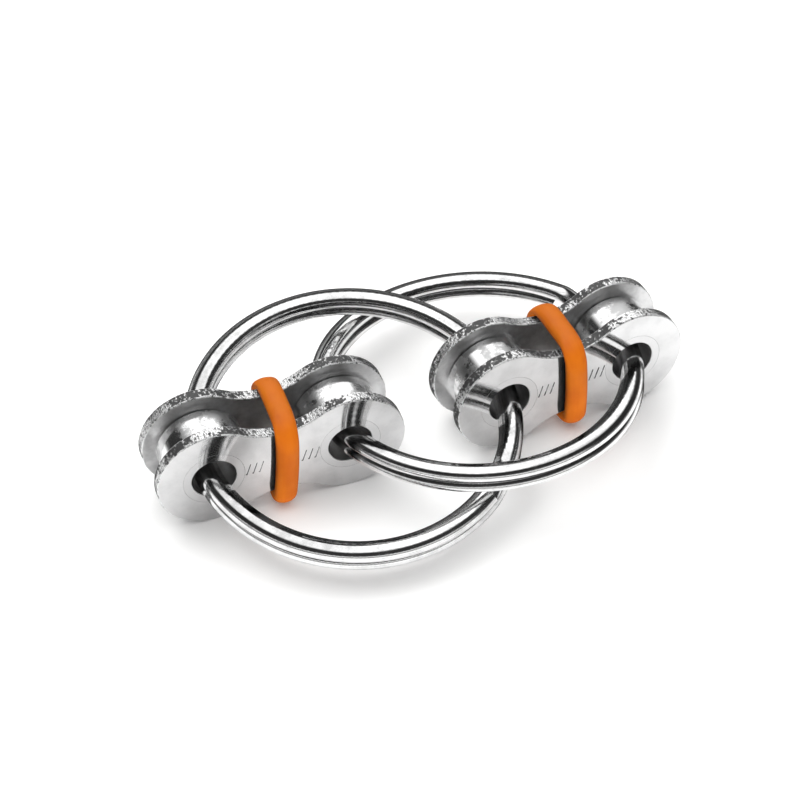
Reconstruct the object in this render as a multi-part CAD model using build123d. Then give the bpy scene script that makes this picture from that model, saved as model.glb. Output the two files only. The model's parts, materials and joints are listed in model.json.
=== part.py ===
from build123d import *
import math
import os

# Flipping chain puzzle: two roller-chain links joined by two interlinked split rings.
# The links stand on edge in a row along X, with their bush axes near Y, and the rings lie
# nearly flat. Everything is in millimetres, +Z up, and the object rests on the plane Z = 0.
# The origin is on that plane, in the middle of the object's footprint.

# ---------------------------------------------------------------- roller-chain link
PITCH = 12.7  # half-inch chain pitch, from bush axis to bush axis
LOBE_R = 5.2  # rounded end of a plate
WAIST_HALF = 3.4  # half the height of a plate at its waist
PLATE_T = 1.15
LINK_W = 6.2  # over both plates
PLATE_EDGE = 0.12  # rounded edge of a stamped plate
BUSH_OUTER_R = 2.85
BUSH_BORE_R = 2.05
BUSH_MOUTH = 0.05  # chamfer round the bore's mouth
BUSH_SEAM = 0.02  # chamfer where the bush meets the plate
ROLLER_R = 3.95
ROLLER_RUN = 0.06  # radial running clearance of a roller on its bush
ROLLER_END_GAP = 0.1  # between a roller and each plate
ROLLER_CHAMFER = 0.28

# Plain stamped strokes on the outer faces, beside the band.
STROKE_LENGTH = 1.3
STROKE_WIDTH = 0.16
STROKE_DEPTH = 0.07
STROKE_SLANT = 18
STROKES_X = (2.0, 2.6, 3.2)

# ---------------------------------------------------------------- silicone band
BAND_WIDTH = 2.15
BAND_THICK = 1.4
BAND_GAP = 0.03  # between the band and the plates
BAND_INNER_R = 0.14  # inside of the bend over a plate's edge
BAND_OUTER_R = 2.2  # outside of the same bend
BAND_OUTER_EDGE = 0.6  # rounded long edges of the band's outer face
BAND_INNER_EDGE = 0.45  # the same against the metal, clear of the plates' rising waists

# ---------------------------------------------------------------- split ring
RING_MEAN_R = 14.2
WIRE_WIDTH = 2.15  # across one coil of the oval wire, in the plane of the ring
WIRE_HEIGHT = 1.1  # one coil, along the ring's axis
COIL_GAP = 0.03
STEP_ANGLE = 16  # stretch over which the wire climbs from one coil to the other
STEP_SECTIONS = 7
END_GAP_ANGLE = 0.8  # between a cut end and the climbing wire

# ---------------------------------------------------------------- how the pieces lie at rest
RIGHT_LINK_X = 27.6  # from the middle of the left link to the middle of the right one
RIGHT_LINK_Y = 0.4
RIGHT_LINK_YAW = 5.5
RIGHT_LINK_LEAN = -2.0  # the right link leans back, so its outer face looks slightly up
LEFT_RING_ROLL = 9.0  # front down
RIGHT_RING_ROLL = -5.8  # front up, so the two rings pass over and under each other
LEFT_RING_SHIFT = -0.7
RIGHT_RING_SHIFT = 0.6
LEFT_RING_ENDS = -36
RIGHT_RING_ENDS = 33


def plate():
    """Figure-eight plate, lying in the XZ plane, PLATE_T thick along Y about Y = 0."""
    half = PITCH / 2
    # A concave arc of this radius touches both lobes and leaves the waist.
    blend = (half**2 + WAIST_HALF**2 - LOBE_R**2) / (2 * (LOBE_R - WAIST_HALF))
    drop = WAIST_HALF + blend
    touch_x = half * blend / (blend + LOBE_R)
    touch_z = drop * LOBE_R / (blend + LOBE_R)
    top = RadiusArc((-touch_x, touch_z), (touch_x, touch_z), -blend)
    right = ThreePointArc((touch_x, touch_z), (half + LOBE_R, 0), (touch_x, -touch_z))
    bottom = RadiusArc((touch_x, -touch_z), (-touch_x, -touch_z), -blend)
    left = ThreePointArc((-touch_x, -touch_z), (-half - LOBE_R, 0), (-touch_x, touch_z))
    face = make_face(top + right + bottom + left)
    body = extrude(Plane.XZ * face, PLATE_T / 2, both=True)
    body = fillet(body.edges(), PLATE_EDGE)
    for side in (-half, half):
        body -= Pos(side, 0, 0) * Rot(90, 0, 0) * Cylinder(BUSH_OUTER_R, 2 * PLATE_T)
    return body


def stamped(body, outer_y):
    """Cuts plain slanted strokes into the plate's outer face, either side of the band."""
    stroke = Box(STROKE_WIDTH, 2 * STROKE_DEPTH, STROKE_LENGTH)
    for x in STROKES_X:
        for side in (-1, 1):
            body -= Pos(side * x, outer_y, 0) * Rot(0, STROKE_SLANT, 0) * stroke
    return body


def rims(tube):
    """The circular edges of a tube, grouped from the smallest radius to the largest."""
    return tube.edges().filter_by(GeomType.CIRCLE).group_by(SortBy.RADIUS)


def bush():
    """Plain tube through both plates, along Y about the origin."""
    tube = Cylinder(BUSH_OUTER_R, LINK_W) - Cylinder(BUSH_BORE_R, LINK_W)
    tube = chamfer(rims(tube)[0], BUSH_MOUTH)
    tube = chamfer(rims(tube)[-1], BUSH_SEAM)
    return Rot(90, 0, 0) * tube


def roller():
    """Free-turning roller on a bush, along Y about the origin."""
    length = LINK_W - 2 * PLATE_T - 2 * ROLLER_END_GAP
    tube = Cylinder(ROLLER_R, length) - Cylinder(BUSH_OUTER_R + ROLLER_RUN, length)
    return Rot(90, 0, 0) * chamfer(rims(tube)[-1], ROLLER_CHAMFER)


def band():
    """Silicone loop stretched round both plates at the waist, in the YZ plane."""
    across = LINK_W + 2 * BAND_GAP
    tall = 2 * (WAIST_HALF + BAND_GAP)
    outline = RectangleRounded(across + 2 * BAND_THICK, tall + 2 * BAND_THICK, BAND_OUTER_R)
    opening = RectangleRounded(across, tall, BAND_INNER_R)
    loop = extrude(Plane.YZ * (outline - opening), BAND_WIDTH / 2, both=True)
    sides = loop.faces().filter_by(Axis.X)
    outer_edges = [edge for side in sides for edge in side.outer_wire().edges()]
    inner_edges = [edge for side in sides for edge in side.inner_wires().edges()]
    return loop.fillet(BAND_OUTER_EDGE, outer_edges).fillet(BAND_INNER_EDGE, inner_edges)


def split_ring(ends_at):
    """Two coils of one wire, about the origin and Z, with both cut ends near an angle."""
    rise = WIRE_HEIGHT + COIL_GAP
    section = Plane.XZ * Pos(RING_MEAN_R, 0) * Ellipse(WIRE_WIDTH / 2, WIRE_HEIGHT / 2)

    def coil(z, start, angle):
        return Rot(0, 0, start) * revolve(Pos(0, 0, z) * section, Axis.Z, angle)

    turn = 360 - STEP_ANGLE
    lower = coil(-rise / 2, END_GAP_ANGLE, turn - END_GAP_ANGLE)
    upper = coil(rise / 2, 0, turn - END_GAP_ANGLE)
    climb = []
    for index in range(STEP_SECTIONS):
        part = index / (STEP_SECTIONS - 1)
        z = rise * (part**2 * (3 - 2 * part) - 0.5)
        climb.append(Rot(0, 0, turn + STEP_ANGLE * part) * Pos(0, 0, z) * section)
    whole = lower + loft(climb) + upper
    return Rot(0, 0, ends_at) * whole


def ring_place(first, last, roll, shift):
    """Where a ring lies when its wire passes through two bushes centred on two points."""
    run = last - first
    yaw = math.degrees(math.atan2(run.Y, run.X))
    pitch = math.degrees(math.atan2(run.Z, math.hypot(run.X, run.Y)))
    middle = (first + last) / 2
    turned = Pos(middle.X, middle.Y, middle.Z) * Rot(0, 0, yaw) * Rot(0, -pitch, 0)
    return turned * Rot(roll, 0, 0) * Pos(0, shift, 0)


# The left link stands upright, and the right one leans on its back plate's lower edge.
lean = math.radians(RIGHT_LINK_LEAN)
right_height = LOBE_R * math.cos(lean) + LINK_W / 2 * abs(math.sin(lean))
left_link = Pos(0, 0, LOBE_R)
right_link = (
    Pos(RIGHT_LINK_X, RIGHT_LINK_Y, right_height)
    * Rot(0, 0, RIGHT_LINK_YAW)
    * Rot(RIGHT_LINK_LEAN, 0, 0)
)

# The bushes of each link, from left to right along X.
bush_sides = {"left": -PITCH / 2, "right": PITCH / 2}
bush_points = {}
parts = {}
plate_y = (LINK_W - PLATE_T) / 2
for link_name, link in (("left_link", left_link), ("right_link", right_link)):
    parts[f"{link_name}_front_plate"] = link * Pos(0, -plate_y, 0) * stamped(plate(), -PLATE_T / 2)
    parts[f"{link_name}_back_plate"] = link * Pos(0, plate_y, 0) * stamped(plate(), PLATE_T / 2)
    parts[f"{link_name}_band"] = link * band()
    for side, x in bush_sides.items():
        spot = link * Pos(x, 0, 0)
        bush_points[link_name, side] = spot.position
        parts[f"{link_name}_{side}_bush"] = spot * bush()
        parts[f"{link_name}_{side}_roller"] = spot * roller()

left_ring = ring_place(
    bush_points["left_link", "left"],
    bush_points["right_link", "left"],
    LEFT_RING_ROLL,
    LEFT_RING_SHIFT,
)
right_ring = ring_place(
    bush_points["left_link", "right"],
    bush_points["right_link", "right"],
    RIGHT_RING_ROLL,
    RIGHT_RING_SHIFT,
)
parts["left_ring"] = left_ring * split_ring(LEFT_RING_ENDS)
parts["right_ring"] = right_ring * split_ring(RIGHT_RING_ENDS)

# The origin goes to the middle of the footprint.
extent = Compound(children=[Pos(0, 0, 0) * part for part in parts.values()]).bounding_box()
footprint = Pos(-extent.center().X, -extent.center().Y, 0)

os.makedirs("parts", exist_ok=True)
for name, part in parts.items():
    export_step(footprint * part, f"parts/{name}.step")
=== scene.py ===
import json
import math

import bpy
import numpy as np
from mathutils import Matrix, Vector


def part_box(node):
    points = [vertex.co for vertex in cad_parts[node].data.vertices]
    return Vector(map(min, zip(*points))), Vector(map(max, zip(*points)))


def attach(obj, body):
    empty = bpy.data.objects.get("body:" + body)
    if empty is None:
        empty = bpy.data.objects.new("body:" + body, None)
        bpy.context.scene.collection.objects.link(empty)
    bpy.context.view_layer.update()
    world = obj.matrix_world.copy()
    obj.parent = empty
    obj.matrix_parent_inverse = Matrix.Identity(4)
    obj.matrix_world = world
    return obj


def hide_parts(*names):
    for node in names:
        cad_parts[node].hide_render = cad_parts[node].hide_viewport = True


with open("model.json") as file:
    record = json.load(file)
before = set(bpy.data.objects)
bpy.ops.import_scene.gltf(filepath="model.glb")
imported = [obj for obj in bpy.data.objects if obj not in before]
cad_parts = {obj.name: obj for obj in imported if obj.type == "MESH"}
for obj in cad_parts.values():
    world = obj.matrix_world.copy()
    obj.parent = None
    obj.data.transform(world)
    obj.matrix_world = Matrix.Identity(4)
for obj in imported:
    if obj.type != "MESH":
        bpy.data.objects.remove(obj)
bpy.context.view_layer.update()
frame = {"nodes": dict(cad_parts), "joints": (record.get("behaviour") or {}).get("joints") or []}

# A flipping chain puzzle on a pale table: two roller-chain links on edge, each with an orange
# silicone band, joined by two interlinked split rings. Lengths are in metres.
MM = 0.001
LINKS = ("left_link", "right_link")
SIDES = ("left", "right")
FACES = ("front", "back")

# ---------------------------------------------------------------- camera
LOOK_AT = Vector((0.3, 5.4, 0.0)) * MM
CAMERA_DISTANCE = 236 * MM
CAMERA_AZIMUTH = -20.0
CAMERA_ELEVATION = 44.4
CAMERA_LENS = 113.2
CAMERA_SENSOR = 36.0
CAMERA_NEAREST = 10 * MM

# ---------------------------------------------------------------- studio
# Polished metal is lit by what it mirrors, so the sky and the table look different in mirrors
# than they are as lights; the table's look in mirrors is a painted reflection. Each fade is where
# a change starts and ends.
SKY_LIGHT = 2.05
SKY_MIRRORED = 1.25
SKY_DARK = 0.03
SKY_SEEN = 1.0  # past the table's edge the camera sees plain white
SKY_FADE = (0.48, 0.72)  # by height, on a sphere of radius 1
BACK_LIFT = 0.34  # the bright sky comes down lower behind the object than in front of it
SIDE_DROP = 0.2  # and stops higher at its two sides
CARD_LIGHT = 0.75  # a pale card stands on the table in front of the object
CARD_HEIGHT_FADE = (0.25, 0.08)
CARD_AHEAD_FADE = (-0.2, -0.6)
TABLE_HALF = 0.5
TABLE_TONES = ((0.93, 0.928, 0.92, 1.0), (0.95, 0.95, 0.945, 1.0))
TABLE_ROUGH = 0.7
TABLE_PAINTED_GLOW = 0.15  # painted light: the table glows to lift its shadows, in place of light bounced back from the room
TABLE_PAINTED_REFLECTION = (0.03, 0.98)
TABLE_NEAR_FADE = (0.08, 0.3)  # painted reflection: only the table close to the metal is mirrored bright
TABLE_BEYOND_FADE = (0.65, 0.88)  # and it is painted dark in mirrors beyond the object
LAMP_SIZE = (0.36, 0.24)
LAMP_DISTANCE = 0.5
SOFTBOX_AT = (-135, 60)  # azimuth and elevation
SOFTBOX_WATTS = 0.6
FRONT_FILL_AT = (0, 5)
FRONT_FILL_WATTS = 2.6

# ---------------------------------------------------------------- silicone bands
BAND_THICK = 1.4 * MM
BAND_WIDTH = 2.1 * MM
BAND_INNER_R = 0.2 * MM  # the bend over a plate's edge, against the metal
BAND_TOP_R = 2.9 * MM  # the outside of the same bend, over the top edges
BAND_BOTTOM_R = 1.6 * MM  # and under the bottom edges
BAND_SAG = 0.12 * MM
BAND_SPAN_HALF = 2.0 * MM  # half the unsupported span between the plates
BAND_PRESSED = 0.75  # how round the section stays against the metal; 1 is a true oval
BAND_SIDE_STEPS = 36
BAND_BEND_STEPS = 14
BAND_SECTION = 32
BAND_ATTRIBUTE = "band_section"
BAND_STREAK_LENGTH = 0.1  # the streaks' pattern runs this much slower along the band
# How far each band has slipped along its link at its four bends, and how far its front and
# top strands bow, all in millimetres along the link's X.
BAND_LIE = {
    "left_link": {
        "front_top": 0.15,
        "front_bottom": -0.25,
        "back_top": 0.45,
        "back_bottom": 0.0,
        "front_bow": 0.22,
        "top_bow": 0.3,
    },
    "right_link": {
        "front_top": -0.35,
        "front_bottom": 0.1,
        "back_top": 0.1,
        "back_bottom": -0.7,
        "front_bow": 0.25,
        "top_bow": 0.42,
    },
}

# ---------------------------------------------------------------- finishes
# A noise is its features per metre, detail, roughness and, where it has a lay, its stretch.
# A relief is its depth and strength.
# A pair of greys or of roughnesses is for the two ends of the noise that mixes them.
# Plates: outer faces mirror-bright but painted dark where the wires mirror them, inner faces
# duller, stamped edges torn and pitted.
PLATE_TARNISH = (420, 4.0, 0.6)
PLATE_OUTER_GREY = (0.8, 0.68)
PLATE_OUTER_FADE = (0.35, 0.75)
PLATE_OUTER_PAINTED_REFLECTION = 0.1  # painted reflection: the wires mirror these faces as this dark grey
PLATE_OUTER_ROUGH = (0.05, 0.13)
PLATE_INNER_GREY = (0.88, 0.58)
PLATE_INNER_FADE = (0.3, 0.7)
PLATE_INNER_ROUGH = 0.36
PLATE_INSIDE_FADE = (2.15 * MM, 2.0 * MM)  # distance from the link's middle plane
PLATE_HAIRLINES = (900, 2.0, 0.5, (1.0, 1.0, 7.0))
PLATE_WAVES = (230, 1.0, 0.4)
PLATE_PITS = (4300, 3.0, 0.6, (1.0, 0.7, 1.0))
PLATE_PATCHES = (300, 3.0, 0.6)
PLATE_PATCH_FADE = (0.4, 0.6, -0.1, 0.1)
PLATE_SPECKLE_FADE = (0.47, 0.57)
PLATE_EDGE_FADE = (0.85, 0.97, 1.0, 0.0)  # by how squarely the surface faces along the bushes
PLATE_EDGE_GREY = (0.13, 0.98)
PLATE_EDGE_ROUGH = (0.5, 0.22)
PLATE_PIT_DEPTH = 0.14 * MM
PLATE_PIT_STRENGTH = 0.9
PLATE_WAVE_RELIEF = (0.02 * MM, 0.35)
PLATE_HAIRLINE_RELIEF = (0.002 * MM, 0.5)
PLATE_RIM_FADES = ((0.1, 0.3), (0.98, 0.9))  # the rounded rim between an edge and a face
PLATE_RIM_WEAR_FADE = (0.4, 0.46)
PLATE_RIM_GREY = 0.98
PLATE_RIM_ROUGH = 0.5
# Wires: the plating's sheen makes the oval wire look rounder than it is.
WIRE_ROUNDING = 0.62
WIRE_STREAKS = (1.0, 3.0, 0.5)
WIRE_STREAKS_ALONG = 45
WIRE_STREAKS_ROUND = 9.0
WIRE_RUBBED = (700, 5.0, 0.65)
WIRE_RUBBED_SHARE = 0.3
WIRE_RUBBED_FADE = (0.42, 0.7)
WIRE_MARKS = (3800, 3.0, 0.6)
WIRE_WAVES = (170, 1.0, 0.4)
WIRE_WEAR_FADE = (0.46, 0.62)
WIRE_GREY = (0.95, 0.6)
WIRE_ROUGH = (0.1, 0.2)
WIRE_WAVE_RELIEF = (0.008 * MM, 0.25)
WIRE_MARK_RELIEF = (0.004 * MM, 0.5)
# Rollers and bushes.
ROLLER_PATCHES = (330, 3.0, 0.6)
ROLLER_GRAIN = (3600, 4.0, 0.7)
ROLLER_GRAIN_SHARE = 0.3
ROLLER_WAVES = (280, 1.0, 0.4)
ROLLER_DULL_FADE = (0.63, 0.74)
ROLLER_GREY = (0.98, 0.6)
ROLLER_ROUGH = (0.12, 0.34)
ROLLER_WAVE_RELIEF = (0.03 * MM, 0.5)
ROLLER_GRAIN_DEPTH = 0.03 * MM
ROLLER_GRAIN_STRENGTH = 0.6
BUSH_FILM = (900, 4.0, 0.6)
BUSH_GRAIN = (4200, 3.0, 0.6)
BUSH_END_FADE = (0.5, 0.9)
# the bore's dark grey is painted shade inside the hole
BUSH_BORE_SHADE_GREY = (0.25, 0.6)
BUSH_BORE_ROUGH = (0.3, 0.5)
BUSH_GRAIN_RELIEF = (0.004 * MM, 0.4)
# Silicone.
SILICONE_DEEP = (0.41, 0.087, 0.0015, 1.0)
SILICONE_BRIGHT = (0.49, 0.117, 0.002, 1.0)
SILICONE_PAINTED_REFLECTION = 0.05  # painted reflection: the metal mirrors the bands as this dark grey, without their colour
SILICONE_CLOUD = (260, 3.0, 0.55)
SILICONE_CLOUD_FADE = (0.35, 0.65)
SILICONE_STREAKS = (1500, 2.0, 0.5)
SILICONE_STREAK_SHARE = 0.25
SILICONE_DUST = (5200, 3.0, 0.7)
SILICONE_DENTS = (620, 2.0, 0.5)
SILICONE_ROUGH = (0.45, 0.62)
SILICONE_SHINE = 0.22
SILICONE_SCATTER = 0.1
SILICONE_SCATTER_REACH = (1.2 * MM, 0.4 * MM, 0.1 * MM)
SILICONE_DUST_RELIEF = (0.012 * MM, 0.6)
SILICONE_STREAK_RELIEF = (0.02 * MM, 0.15)
SILICONE_DENT_RELIEF = (0.05 * MM, 0.35)
# Table top.
TABLE_MOTTLE = (60, 4.0, 0.6)
TABLE_GRAIN = (900, 3.0, 0.6)
TABLE_GRAIN_RELIEF = (0.02 * MM, 0.3)


def direction(azimuth, elevation):
    """From the object towards a place: azimuth 0 is in front, -Y."""
    a, e = math.radians(azimuth), math.radians(elevation)
    return Vector((math.sin(a) * math.cos(e), -math.cos(a) * math.cos(e), math.sin(e)))


def grey(value):
    return (value, value, value, 1.0)


# ================================================================ node helpers
class Nodes:
    """A node tree being built, with short names for the nodes it needs."""

    def __init__(self, tree):
        self.tree = tree

    def add(self, kind, inputs=(), **settings):
        node = self.tree.nodes.new(kind)
        for key, value in settings.items():
            setattr(node, key, value)
        for key, value in dict(inputs).items():
            self.feed(node.inputs[key], value)
        return node

    def feed(self, socket, value):
        if isinstance(value, bpy.types.NodeSocket):
            self.tree.links.new(value, socket)
        else:
            socket.default_value = value

    def math(self, operation, *values):
        node = self.add("ShaderNodeMath", operation=operation)
        for socket, value in zip(node.inputs, values):
            self.feed(socket, value)
        return node.outputs[0]

    def fade(self, value, start, end, low=0.0, high=1.0):
        """Value from start to end becomes low to high, smoothly and clamped."""
        inputs = {0: value, 1: start, 2: end, 3: low, 4: high}
        return self.add("ShaderNodeMapRange", inputs, interpolation_type="SMOOTHSTEP").outputs[0]

    def mix_value(self, share, first, second):
        change = self.math("MULTIPLY", share, self.math("SUBTRACT", second, first))
        return self.math("ADD", first, change)

    def vector(self, operation, first, second):
        """A vector sum: DOT_PRODUCT gives a number and the others give a vector."""
        if not isinstance(second, bpy.types.NodeSocket):
            second = tuple(second)
        node = self.add("ShaderNodeVectorMath", {0: first, 1: second}, operation=operation)
        return node.outputs["Value" if operation == "DOT_PRODUCT" else "Vector"]

    def light_path(self, kind):
        """1 where the surface is seen by this kind of ray."""
        return self.add("ShaderNodeLightPath").outputs[f"Is {kind} Ray"]


class Shader(Nodes):
    """A material being built round its Principled surface node."""

    def __init__(self, name):
        self.material = bpy.data.materials.new(name)
        self.material.use_nodes = True
        super().__init__(self.material.node_tree)
        self.surface = self.tree.nodes["Principled BSDF"]
        self.place = self.add("ShaderNodeTexCoord").outputs["Object"]
        self.normal = self.place.node.outputs["Normal"]

    def noise(self, scale, detail, roughness, stretch=None, place=None):
        place = place or self.place
        if stretch:
            place = self.add("ShaderNodeMapping", {"Vector": place, "Scale": stretch}).outputs[0]
        inputs = {"Vector": place, "Scale": scale, "Detail": detail, "Roughness": roughness}
        return self.add("ShaderNodeTexNoise", inputs).outputs["Fac"]

    def blend(self, first, second, second_share):
        """A weighted sum of two numbers."""
        weighted = self.math("MULTIPLY", first, 1 - second_share)
        return self.math("ADD", weighted, self.math("MULTIPLY", second, second_share))

    def mix(self, share, first, second):
        """A colour between two colours or greys."""
        node = self.add("ShaderNodeMix", data_type="RGBA")
        self.feed(node.inputs[0], share)
        for socket, value in ((node.inputs[6], first), (node.inputs[7], second)):
            self.feed(socket, grey(value) if isinstance(value, float) else value)
        return node.outputs[2]

    def bump(self, height, distance, strength, below=None):
        inputs = {"Height": height, "Distance": distance, "Strength": strength}
        if below:
            inputs["Normal"] = below
        return self.add("ShaderNodeBump", inputs).outputs[0]

    def scaled(self, vector, factor):
        inputs = {"Vector": vector, "Scale": factor}
        return self.add("ShaderNodeVectorMath", inputs, operation="SCALE").outputs["Vector"]

    def facing(self, axis):
        """How squarely the surface faces along an axis, either way: 1 on the flat faces."""
        return self.math("ABSOLUTE", self.vector("DOT_PRODUCT", self.normal, axis))

    def across(self, axis, centre):
        """Distance from a plane through a point, square to an axis."""
        away = self.vector("SUBTRACT", self.place, centre)
        return self.math("ABSOLUTE", self.vector("DOT_PRODUCT", away, axis))

    def painted_in_mirrors(self, colour, mirrored):
        """A painted reflection: another colour where the surface is seen mirrored in polished
        metal.
        """
        return self.mix(self.light_path("Glossy"), colour, mirrored)

    def finish(self, **inputs):
        for key, value in inputs.items():
            title = key.replace("_", " ").title().replace("Ior", "IOR")
            self.feed(self.surface.inputs[title], value)
        return self.material


# ================================================================ materials
def plate_metal(name, axis, centre):
    """Nickel-bright stamped plate: mirror outer faces with a painted dark reflection of them in
    the wires, dull inner ones and torn, pitted edges.
    """
    s = Shader(name)
    squareness = s.facing(axis)
    tarnish = s.noise(*PLATE_TARNISH)
    hairlines = s.noise(*PLATE_HAIRLINES)
    pits = s.noise(*PLATE_PITS)

    inside = s.fade(s.across(axis, centre), *PLATE_INSIDE_FADE)
    outer_grey = s.mix(s.fade(tarnish, *PLATE_OUTER_FADE), *PLATE_OUTER_GREY)
    # painted reflection: the outer faces turn dark grey wherever the wires mirror them
    outer_grey = s.painted_in_mirrors(outer_grey, PLATE_OUTER_PAINTED_REFLECTION)
    inner_grey = s.mix(s.fade(tarnish, *PLATE_INNER_FADE), *PLATE_INNER_GREY)
    face_grey = s.mix(inside, outer_grey, inner_grey)
    outer_rough = s.mix_value(hairlines, *PLATE_OUTER_ROUGH)
    face_rough = s.mix_value(inside, outer_rough, PLATE_INNER_ROUGH)

    edge = s.fade(squareness, *PLATE_EDGE_FADE)
    patches = s.fade(s.noise(*PLATE_PATCHES), *PLATE_PATCH_FADE)
    speckle = s.fade(s.math("ADD", pits, patches), *PLATE_SPECKLE_FADE)
    rim_start, rim_end = (s.fade(squareness, *fade) for fade in PLATE_RIM_FADES)
    rim = s.math("MULTIPLY", rim_start, rim_end)
    rubbed_rim = s.math("MULTIPLY", rim, s.fade(pits, *PLATE_RIM_WEAR_FADE))
    edge_grey = s.mix(rubbed_rim, s.mix(speckle, *PLATE_EDGE_GREY), PLATE_RIM_GREY)
    edge_rough = s.mix_value(rim, s.mix_value(speckle, *PLATE_EDGE_ROUGH), PLATE_RIM_ROUGH)

    wavy = s.bump(s.noise(*PLATE_WAVES), *PLATE_WAVE_RELIEF)
    grain = s.bump(hairlines, *PLATE_HAIRLINE_RELIEF, below=wavy)
    pit_strength = s.math("MULTIPLY", edge, PLATE_PIT_STRENGTH)
    return s.finish(
        base_color=s.mix(edge, face_grey, edge_grey),
        metallic=1.0,
        roughness=s.mix_value(edge, face_rough, edge_rough),
        normal=s.bump(pits, PLATE_PIT_DEPTH, pit_strength, grain),
    )


def wire_metal(name, axis):
    """Bright plated spring wire, shaded rounder than its mesh, with streaks and rubbed patches."""
    s = Shader(name)
    # The normal's share along the ring's axis changes round the wire and hardly along it.
    along_axis = s.vector("DOT_PRODUCT", s.normal, axis)
    excess = s.scaled(axis, s.math("MULTIPLY", along_axis, WIRE_ROUNDING))
    to_world = {"vector_type": "NORMAL", "convert_from": "OBJECT", "convert_to": "WORLD"}
    flatter = {0: s.vector("SUBTRACT", s.normal, excess)}
    rounder = s.add("ShaderNodeVectorTransform", flatter, **to_world).outputs[0]

    round_wire = s.scaled(axis, s.math("MULTIPLY", along_axis, WIRE_STREAKS_ROUND))
    lay = s.vector("ADD", s.scaled(s.place, WIRE_STREAKS_ALONG), round_wire)
    streaks = s.noise(*WIRE_STREAKS, place=lay)
    rubbed = s.noise(*WIRE_RUBBED)
    wear = s.fade(s.blend(streaks, rubbed, WIRE_RUBBED_SHARE), *WIRE_WEAR_FADE)
    wavy = s.bump(s.noise(*WIRE_WAVES), *WIRE_WAVE_RELIEF, below=rounder)
    return s.finish(
        base_color=s.mix(wear, *WIRE_GREY),
        metallic=1.0,
        roughness=s.mix_value(s.fade(rubbed, *WIRE_RUBBED_FADE), *WIRE_ROUGH),
        normal=s.bump(s.noise(*WIRE_MARKS), *WIRE_MARK_RELIEF, below=wavy),
    )


def roller_metal(name):
    """Polished roller with dull grey contact patches round its barrel."""
    s = Shader(name)
    grain = s.noise(*ROLLER_GRAIN)
    broken = s.math("ADD", s.noise(*ROLLER_PATCHES), s.math("MULTIPLY", grain, ROLLER_GRAIN_SHARE))
    dull = s.fade(broken, *ROLLER_DULL_FADE)
    wavy = s.bump(s.noise(*ROLLER_WAVES), *ROLLER_WAVE_RELIEF)
    grain_strength = s.math("MULTIPLY", dull, ROLLER_GRAIN_STRENGTH)
    return s.finish(
        base_color=s.mix(dull, *ROLLER_GREY),
        metallic=1.0,
        roughness=s.mix_value(dull, *ROLLER_ROUGH),
        normal=s.bump(grain, ROLLER_GRAIN_DEPTH, grain_strength, wavy),
    )


def bush_metal(name, axis):
    """Hard steel tube: ground flush and bright with the plates, painted darker inside the bore as
    shade in the hole.
    """
    s = Shader(name)
    end = s.fade(s.facing(axis), *BUSH_END_FADE)
    film = s.noise(*BUSH_FILM)
    bore_rough = s.mix_value(film, *BUSH_BORE_ROUGH)
    end_rough = s.mix_value(film, *PLATE_OUTER_ROUGH)
    return s.finish(
        # painted shade: the bore is darker than the ground ends
        base_color=s.mix(end, s.mix(film, *BUSH_BORE_SHADE_GREY), s.mix(film, *PLATE_OUTER_GREY)),
        metallic=1.0,
        roughness=s.mix_value(end, bore_rough, end_rough),
        normal=s.bump(s.noise(*BUSH_GRAIN), *BUSH_GRAIN_RELIEF),
    )


def band_silicone(name):
    """Soft orange silicone: satin, with a dusty grain and faint streaks along its stretch, painted
    dark grey in the metal's reflections.
    """
    s = Shader(name)
    section = s.add("ShaderNodeAttribute", attribute_name=BAND_ATTRIBUTE).outputs["Vector"]
    streaks = s.noise(*SILICONE_STREAKS, place=section)
    dust = s.noise(*SILICONE_DUST)
    blend = s.blend(s.noise(*SILICONE_CLOUD), streaks, SILICONE_STREAK_SHARE)
    orange = s.mix(s.fade(blend, *SILICONE_CLOUD_FADE), SILICONE_DEEP, SILICONE_BRIGHT)
    grain = s.bump(dust, *SILICONE_DUST_RELIEF)
    ribbed = s.bump(streaks, *SILICONE_STREAK_RELIEF, below=grain)
    return s.finish(
        # painted reflection: the band shows as dark grey where the metal mirrors it
        base_color=s.painted_in_mirrors(orange, SILICONE_PAINTED_REFLECTION),
        roughness=s.mix_value(dust, *SILICONE_ROUGH),
        specular_ior_level=SILICONE_SHINE,
        subsurface_weight=SILICONE_SCATTER,
        subsurface_radius=SILICONE_SCATTER_REACH,
        subsurface_scale=1.0,
        normal=s.bump(s.noise(*SILICONE_DENTS), *SILICONE_DENT_RELIEF, below=ribbed),
    )


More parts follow.
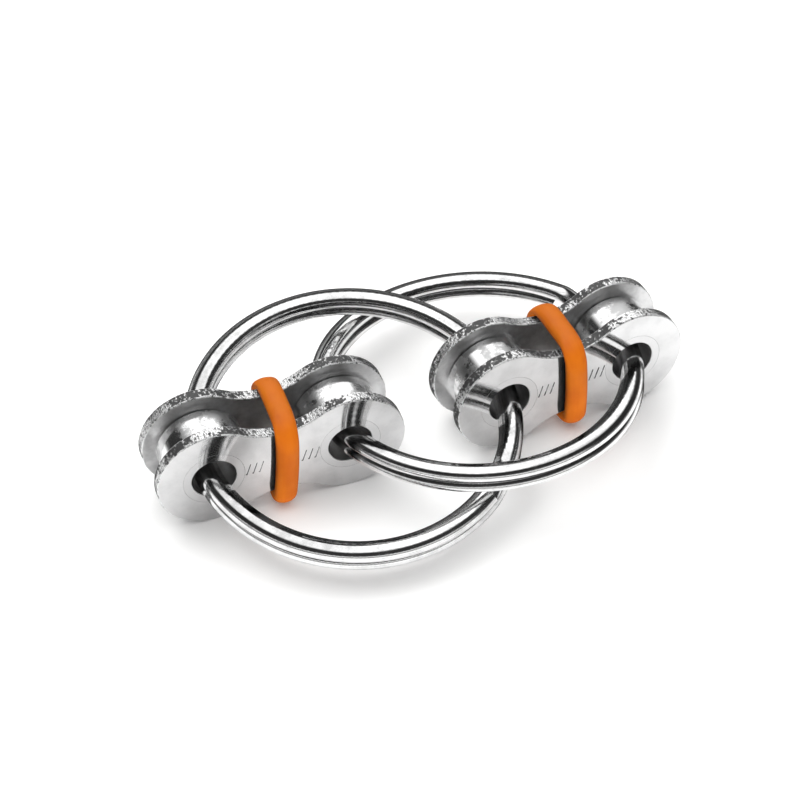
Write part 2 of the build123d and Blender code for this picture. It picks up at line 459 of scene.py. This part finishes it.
def table_paint(name):
    """Matt pale table top with a barely visible mottle, a painted reflection of itself in the
    metal and a painted glow that lifts its shadows.
    """
    s = Shader(name)
    tone = s.mix(s.noise(*TABLE_MOTTLE), *TABLE_TONES)
    towards_viewer = s.add("ShaderNodeNewGeometry").outputs["Incoming"]
    towards_camera = direction(CAMERA_AZIMUTH, CAMERA_ELEVATION)
    near = s.fade(s.vector("DOT_PRODUCT", towards_viewer, (0, 0, 1)), *TABLE_NEAR_FADE)
    beyond = s.fade(s.vector("DOT_PRODUCT", towards_viewer, towards_camera), *TABLE_BEYOND_FADE)
    brightness = s.math("MULTIPLY", near, s.math("SUBTRACT", 1.0, beyond))
    unmirrored = s.math("SUBTRACT", 1.0, s.light_path("Glossy"))
    return s.finish(
        # painted reflection: the metal mirrors the table bright close by and dark beyond the
        # object
        base_color=s.painted_in_mirrors(tone, s.mix(brightness, *TABLE_PAINTED_REFLECTION)),
        roughness=TABLE_ROUGH,
        # painted light: the table glows white to lighten its shadows, except in mirrors
        emission_color=grey(1.0),
        emission_strength=s.math("MULTIPLY", unmirrored, TABLE_PAINTED_GLOW),
        normal=s.bump(s.noise(*TABLE_GRAIN), *TABLE_GRAIN_RELIEF),
    )


# ================================================================ where the CAD pieces are
def middle(node):
    low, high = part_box(node)
    return (low + high) / 2


def link_place(link):
    """The link's own axes as a matrix: X between its bushes, Y along them, Z up."""
    first, last = (middle(f"{link}_{side}_bush") for side in SIDES)
    along = (last - first).normalized()
    spin = next(j for j in frame["joints"] if j["name"] == f"{link}_left_roller_spin")
    bush_axis = Vector(spin["axis"]).normalized()
    up = along.cross(bush_axis)
    turned = Matrix((along, bush_axis, up)).transposed().to_4x4()
    return Matrix.Translation((first + last) / 2) @ turned


def ring_axis(node):
    """A ring's own axis: the direction in which its vertices spread least."""
    places = np.array([vertex.co for vertex in frame["nodes"][node].data.vertices])
    spread = np.linalg.svd(places - places.mean(axis=0), full_matrices=False)[2]
    return Vector(spread[-1])


# ================================================================ silicone bands
def rounded_loop(half_across, half_tall, top_radius, bottom_radius):
    """Points round a rounded rectangle in a link's YZ plane, from its front top corner backwards.

    Every such loop has the same number of points.
    """
    points = []
    bends = (top_radius, bottom_radius, bottom_radius, top_radius)
    for side in range(4):
        last_bend, bend = bends[side - 1], bends[side]
        turn = side * math.pi / 2
        out = Vector((0, math.sin(turn), math.cos(turn)))
        ahead = Vector((0, math.cos(turn), -math.sin(turn)))
        reach, run = (half_tall, half_across) if side % 2 == 0 else (half_across, half_tall)
        for step in range(BAND_SIDE_STEPS):
            share = step / BAND_SIDE_STEPS
            along = (run - bend) * share - (run - last_bend) * (1 - share)
            points.append(out * reach + ahead * along)
        for step in range(BAND_BEND_STEPS):
            angle = math.pi / 2 * step / BAND_BEND_STEPS
            away = out * math.cos(angle) + ahead * math.sin(angle)
            points.append(out * (reach - bend) + ahead * (run - bend) + away * bend)
    return points


def slip(lie, back, top):
    """How far the band has slipped along its link; back and top go from 0 to 1 across it."""
    front_x = lie["front_top"] * top + lie["front_bottom"] * (1 - top)
    back_x = lie["back_top"] * top + lie["back_bottom"] * (1 - top)
    front_bow = lie["front_bow"] * (1 - (2 * top - 1) ** 2) * (1 - back)
    top_bow = lie["top_bow"] * (1 - (2 * back - 1) ** 2) * top
    return (front_x * (1 - back) + back_x * back + front_bow + top_bow) * MM


def section_points(half_thick):
    """Round the band's section, as (sideways, outwards): rounder outside than on the metal."""
    points = []
    for index in range(BAND_SECTION):
        angle = 2 * math.pi * index / BAND_SECTION
        side, depth = math.cos(angle), math.sin(angle)
        power = BAND_PRESSED if depth < 0 else 1.0
        side = math.copysign(abs(side) ** power, side)
        depth = math.copysign(abs(depth) ** power, depth)
        points.append((side * BAND_WIDTH / 2, depth * half_thick))
    return points


def band_piece(link, half_across, half_tall):
    """A stretched silicone loop: tight on the plates' edges, rounded outside, slightly askew."""
    inside = (half_across - BAND_THICK, half_tall - BAND_THICK)
    inner = rounded_loop(*inside, BAND_INNER_R, BAND_INNER_R)
    outer = rounded_loop(half_across, half_tall, BAND_TOP_R, BAND_BOTTOM_R)
    points, sections = [], []
    for metal_side, open_side in zip(inner, outer):
        centre = (metal_side + open_side) / 2
        out = (open_side - metal_side).normalized()
        back = (centre.y / half_across + 1) / 2
        top = (centre.z / half_tall + 1) / 2
        centre.x = slip(BAND_LIE[link], back, top)
        if abs(centre.y) < BAND_SPAN_HALF:
            centre -= out * BAND_SAG * (1 - (centre.y / BAND_SPAN_HALF) ** 2) ** 2
        for side, depth in section_points((open_side - metal_side).length / 2):
            points.append(centre + Vector((side, 0, 0)) + out * depth)
            sections.extend((side, depth, centre.z * BAND_STREAK_LENGTH))
    count = len(points)
    faces = []
    for here in range(0, count, BAND_SECTION):
        there = (here + BAND_SECTION) % count
        for index in range(BAND_SECTION):
            after = (index + 1) % BAND_SECTION
            faces.append((here + index, here + after, there + after, there + index))
    mesh = bpy.data.meshes.new(f"{link}_silicone_band")
    mesh.from_pydata(points, [], faces)
    mesh.transform(link_place(link))
    attribute = mesh.attributes.new(BAND_ATTRIBUTE, "FLOAT_VECTOR", "POINT")
    attribute.data.foreach_set("vector", sections)
    for face in mesh.polygons:
        face.use_smooth = True
    mesh.materials.append(band_silicone(f"{link}_band_silicone"))
    piece = bpy.data.objects.new(f"{link}_silicone_band", mesh)
    bpy.context.scene.collection.objects.link(piece)
    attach(piece, link)
    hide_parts(f"{link}_band")
    return piece


# The left link is square to the axes, so its band's box is the band's true size.
band_low, band_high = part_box("left_link_band")
band_half = (band_high - band_low) / 2
bands = [band_piece(link, band_half.y, band_half.z) for link in LINKS]


# ================================================================ finishes on the CAD pieces
def dress(node, material):
    mesh = frame["nodes"][node].data
    mesh.materials.clear()
    mesh.materials.append(material)


for link in LINKS:
    place = link_place(link)
    bush_axis = place.col[1].xyz
    plates = plate_metal(f"{link}_plate_metal", bush_axis, place.translation)
    bushes = bush_metal(f"{link}_bush_metal", bush_axis)
    rollers = roller_metal(f"{link}_roller_metal")
    for face in FACES:
        dress(f"{link}_{face}_plate", plates)
    for side in SIDES:
        dress(f"{link}_{side}_bush", bushes)
        dress(f"{link}_{side}_roller", rollers)
for side in SIDES:
    dress(f"{side}_ring", wire_metal(f"{side}_ring_wire_metal", ring_axis(f"{side}_ring")))


# ================================================================ table, light and camera
def make_table():
    directions = ((-1, -1), (1, -1), (1, 1), (-1, 1))
    corners = [(x * TABLE_HALF, y * TABLE_HALF, 0) for x, y in directions]
    mesh = bpy.data.meshes.new("table_top")
    mesh.from_pydata(corners, [], [(0, 1, 2, 3)])
    mesh.materials.append(table_paint("pale_table"))
    table = bpy.data.objects.new("table_top", mesh)
    bpy.context.scene.collection.objects.link(table)


def make_world():
    """A bright sky over a dark horizon that stands highest on the camera's side."""
    world = bpy.data.worlds.new("studio")
    world.use_nodes = True
    background = world.node_tree.nodes["Background"]
    n = Nodes(world.node_tree)
    way = n.add("ShaderNodeTexCoord").outputs["Generated"]
    height = n.add("ShaderNodeSeparateXYZ", {0: way}).outputs[2]
    ahead = n.vector("DOT_PRODUCT", way, -direction(CAMERA_AZIMUTH, 0))
    aside = n.math("ABSOLUTE", n.vector("DOT_PRODUCT", way, direction(CAMERA_AZIMUTH + 90, 0)))
    lift = n.math("MULTIPLY", ahead, BACK_LIFT)
    lift = n.math("SUBTRACT", lift, n.math("MULTIPLY", aside, SIDE_DROP))
    sky = n.fade(n.math("ADD", height, lift), *SKY_FADE)
    card_height = n.fade(height, *CARD_HEIGHT_FADE)
    card = n.math("MULTIPLY", card_height, n.fade(ahead, *CARD_AHEAD_FADE))
    sky = n.math("MAXIMUM", sky, n.math("MULTIPLY", card, CARD_LIGHT))
    brightest = n.mix_value(n.light_path("Glossy"), SKY_LIGHT, SKY_MIRRORED)
    level = n.mix_value(sky, SKY_DARK, brightest)
    n.feed(background.inputs["Strength"], n.mix_value(n.light_path("Camera"), level, SKY_SEEN))
    n.feed(background.inputs["Color"], grey(1.0))
    bpy.context.scene.world = world


def make_lamp(name, azimuth, elevation, watts, pieces=()):
    """A large soft lamp that doesn't show in the metal.

    It lights everything or, without shadows, only the pieces it is given.
    """
    light = bpy.data.lights.new(name, "AREA")
    light.shape = "RECTANGLE"
    light.size, light.size_y = LAMP_SIZE
    light.energy = watts
    light.use_shadow = not pieces
    lamp = bpy.data.objects.new(name, light)
    towards = direction(azimuth, elevation)
    lamp.location = towards * LAMP_DISTANCE
    lamp.rotation_mode = "QUATERNION"
    lamp.rotation_quaternion = towards.to_track_quat("Z", "Y")
    lamp.visible_glossy = False
    bpy.context.scene.collection.objects.link(lamp)
    if pieces:
        lit = bpy.data.collections.new(f"{name}_pieces")
        for piece in pieces:
            lit.objects.link(piece)
        lamp.light_linking.receiver_collection = lit


def make_camera():
    lens = bpy.data.cameras.new("camera")
    lens.lens = CAMERA_LENS
    lens.sensor_width = CAMERA_SENSOR
    lens.clip_start = CAMERA_NEAREST
    camera = bpy.data.objects.new("camera", lens)
    back = direction(CAMERA_AZIMUTH, CAMERA_ELEVATION)
    camera.location = LOOK_AT + back * CAMERA_DISTANCE
    camera.rotation_mode = "QUATERNION"
    camera.rotation_quaternion = (-back).to_track_quat("-Z", "Y")
    bpy.context.scene.collection.objects.link(camera)
    bpy.context.scene.camera = camera


make_table()
make_world()
make_lamp("softbox", *SOFTBOX_AT, SOFTBOX_WATTS)
make_lamp("front_fill", *FRONT_FILL_AT, FRONT_FILL_WATTS, bands)
make_camera()
bpy.context.scene.view_settings.view_transform = "Standard"
